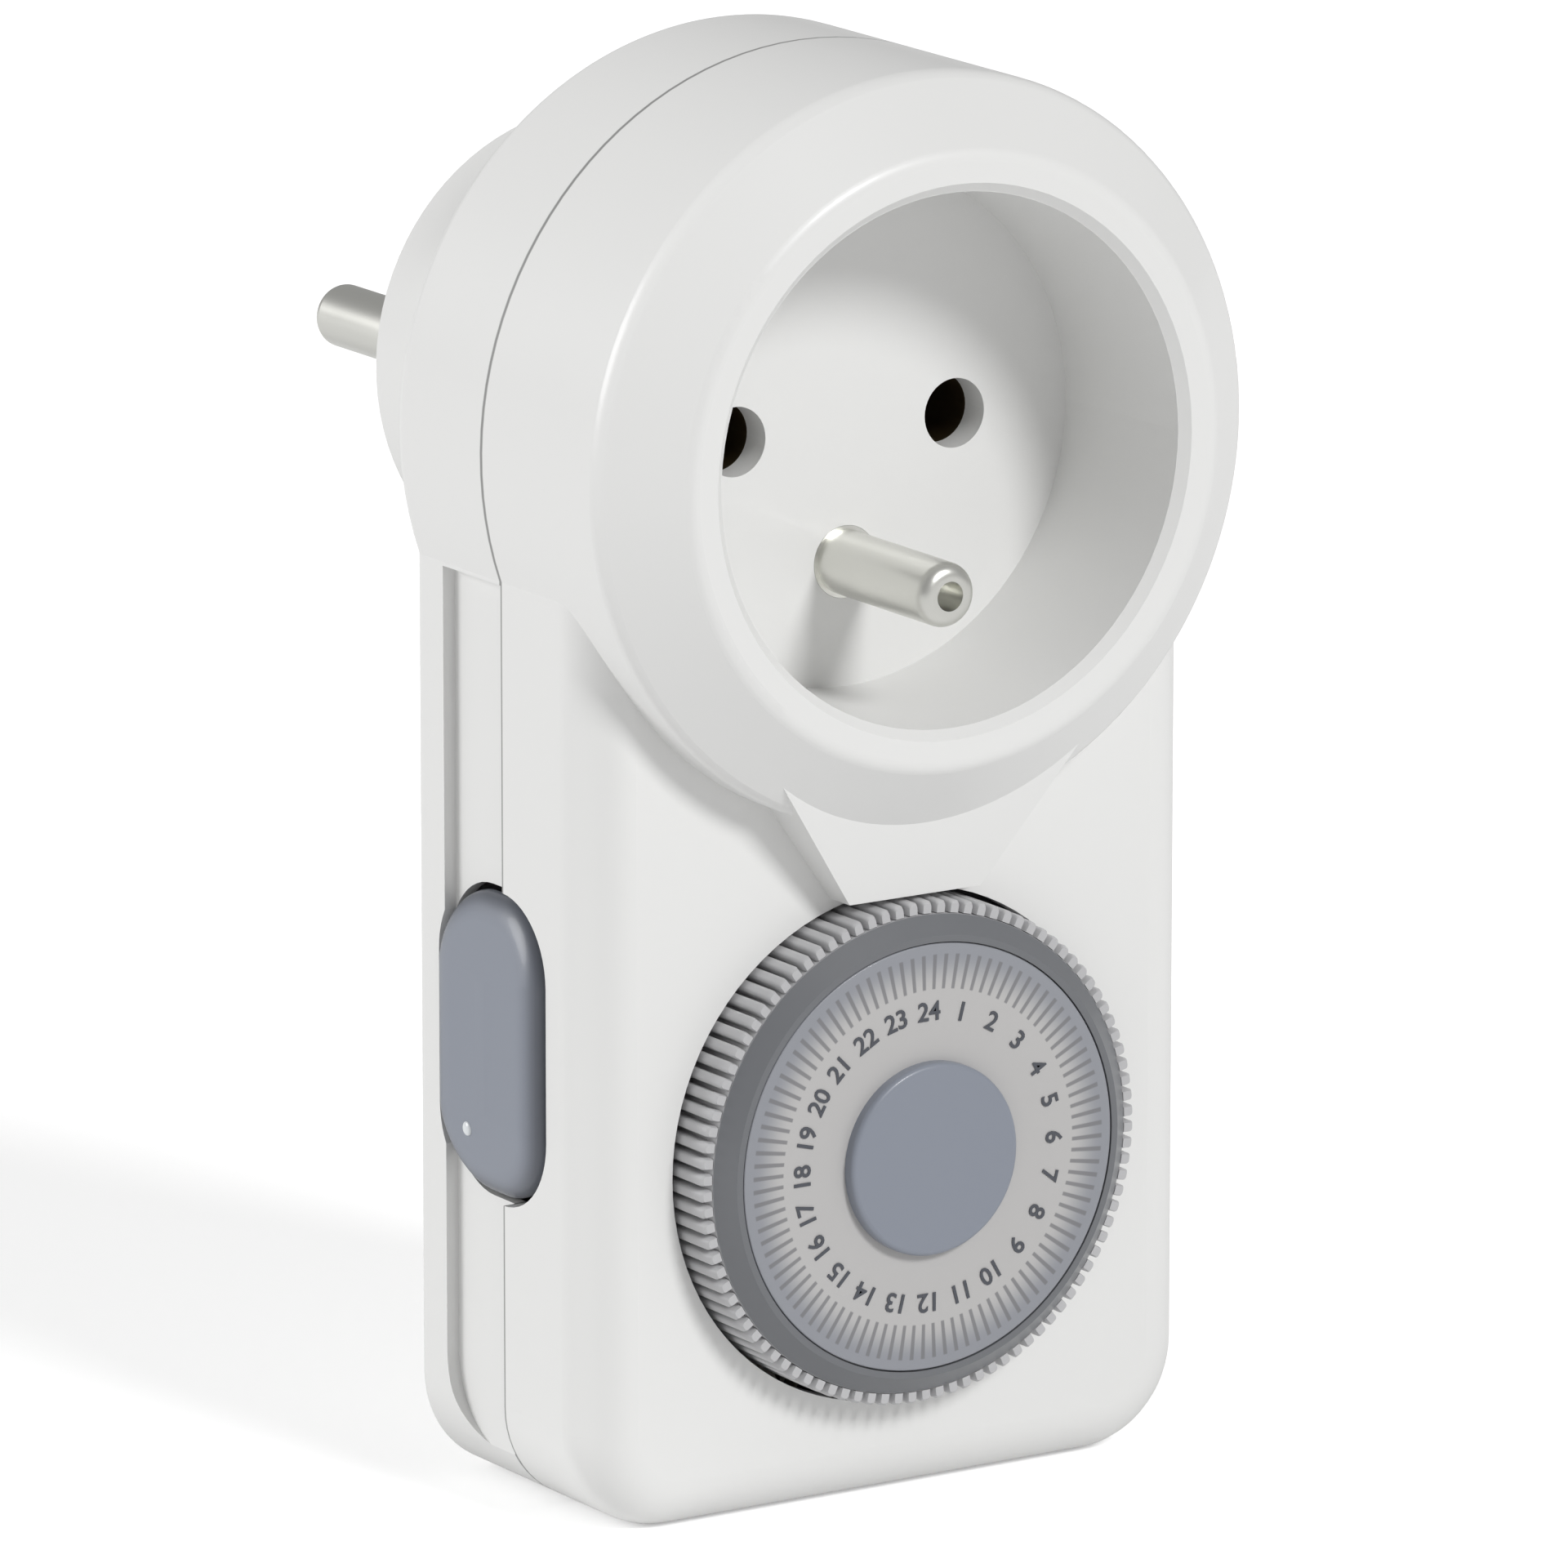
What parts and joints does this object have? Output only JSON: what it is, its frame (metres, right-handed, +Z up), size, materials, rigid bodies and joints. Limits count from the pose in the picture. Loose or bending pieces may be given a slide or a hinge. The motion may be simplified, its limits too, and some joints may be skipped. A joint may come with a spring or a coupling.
{
  "type": "plug-in day timer",
  "caption": "Wall plug timer: a round socket head over a narrow body with a ribbed clock dial, a side rocker switch and a plug boss with two round pins behind.",
  "frame": {"origin": "middle of the plug face, half way between the two plug pins", "axes": "+Z up, the socket and the dial face -Y, the pins point along +Y, +X to the right seen from the front"},
  "size_m": [0.0558, 0.0705, 0.1071],
  "materials": {
    "white_shell": "satin white",
    "nickel": "nickel plated",
    "brass_strip": "bare",
    "inner_plastic": "moulded",
    "steel": "bare",
    "gear_plastic": "natural nylon",
    "magnet": "sintered",
    "copper_wire": "enamelled",
    "dial_grey": "satin grey",
    "scale_print": "printed disc",
    "blue_grey": "satin blue grey",
    "tappet_grey": "moulded"
  },
  "bodies": {
    "case": {"front_cover": "white_shell", "rear_cover": "white_shell", "live_pin": "nickel", "neutral_pin": "nickel", "earth_pin": "nickel", "earth_sleeve": "brass_strip", "earth_bush": "brass_strip", "live_sleeve": "brass_strip", "neutral_sleeve": "brass_strip", "contact_carrier": "inner_plastic", "live_busbar": "brass_strip", "load_busbar": "brass_strip", "neutral_busbar": "brass_strip", "switch_case": "inner_plastic", "lever_pin": "steel", "switch_blade": "brass_strip", "gear_arbors": "steel", "rotor_shaft": "steel", "dial_axle": "steel", "gear_plate": "steel", "motor_can": "steel", "motor_plate": "steel", "motor_bobbin": "inner_plastic", "motor_coil": "copper_wire", "rocker_pin": "steel", "case_screws": "steel"},
    "dial": {"dial_wheel": "dial_grey", "dial_scale": "scale_print", "dial_hub": "blue_grey", "tappets": "tappet_grey"},
    "tappet_block": {"tappet_block": "tappet_grey"},
    "third_gear": {"third_gear": "gear_plastic"},
    "clutch_pinion": {"clutch_pinion": "gear_plastic"},
    "clutch_wheel": {"clutch_wheel": "gear_plastic"},
    "first_gear": {"first_gear": "gear_plastic"},
    "rotor": {"rotor": "magnet"},
    "switch_lever": {"switch_lever": "inner_plastic"},
    "override_rocker": {"override_rocker": "blue_grey"}
  },
  "joints": [
    {"name": "dial_spin", "type": "hinge", "parent": "case", "child": "dial", "pos_m": [0, -0.042, -0.0524], "axis": [0, 1, 0], "continuous": true},
    {"name": "tappet_push", "type": "slide", "parent": "dial", "child": "tappet_block", "axis": [0, 1, 0], "range_m": [0, 0.002]},
    {"name": "third_gear_spin", "type": "hinge", "parent": "case", "child": "third_gear", "pos_m": [-0.0116, -0.038, -0.064], "axis": [0, 1, 0], "continuous": true},
    {"name": "clutch_pinion_spin", "type": "hinge", "parent": "case", "child": "clutch_pinion", "pos_m": [-0.0016, -0.0372, -0.064], "axis": [0, 1, 0], "continuous": true},
    {"name": "rotor_spin", "type": "hinge", "parent": "case", "child": "rotor", "pos_m": [0.00928, -0.028, -0.05403], "axis": [0, 1, 0], "continuous": true},
    {"name": "first_gear_spin", "type": "hinge", "parent": "case", "child": "first_gear", "pos_m": [0.0084, -0.0353, -0.064], "axis": [0, 1, 0], "continuous": true},
    {"name": "clutch_wheel_spin", "type": "hinge", "parent": "case", "child": "clutch_wheel", "pos_m": [-0.0016, -0.0359, -0.064], "axis": [0, 1, 0], "continuous": true},
    {"name": "lever_swing", "type": "hinge", "parent": "case", "child": "switch_lever", "pos_m": [0.0205, -0.03795, -0.0364], "axis": [0, 0, -1], "range_deg": [0, 5], "stiffness_Nm_per_rad": 0.002},
    {"name": "rocker_tilt", "type": "hinge", "parent": "case", "child": "override_rocker", "pos_m": [-0.0241, -0.03005, -0.0442], "axis": [0, 1, 0], "range_deg": [-4, 4]}
  ],
  "couplings": [
    {"joint": "third_gear_spin", "follows": "dial_spin", "ratio": -7.2},
    {"joint": "clutch_pinion_spin", "follows": "dial_spin", "ratio": 28.8},
    {"joint": "first_gear_spin", "follows": "rotor_spin", "ratio": -0.25},
    {"joint": "clutch_wheel_spin", "follows": "rotor_spin", "ratio": 0.0625}
  ]
}
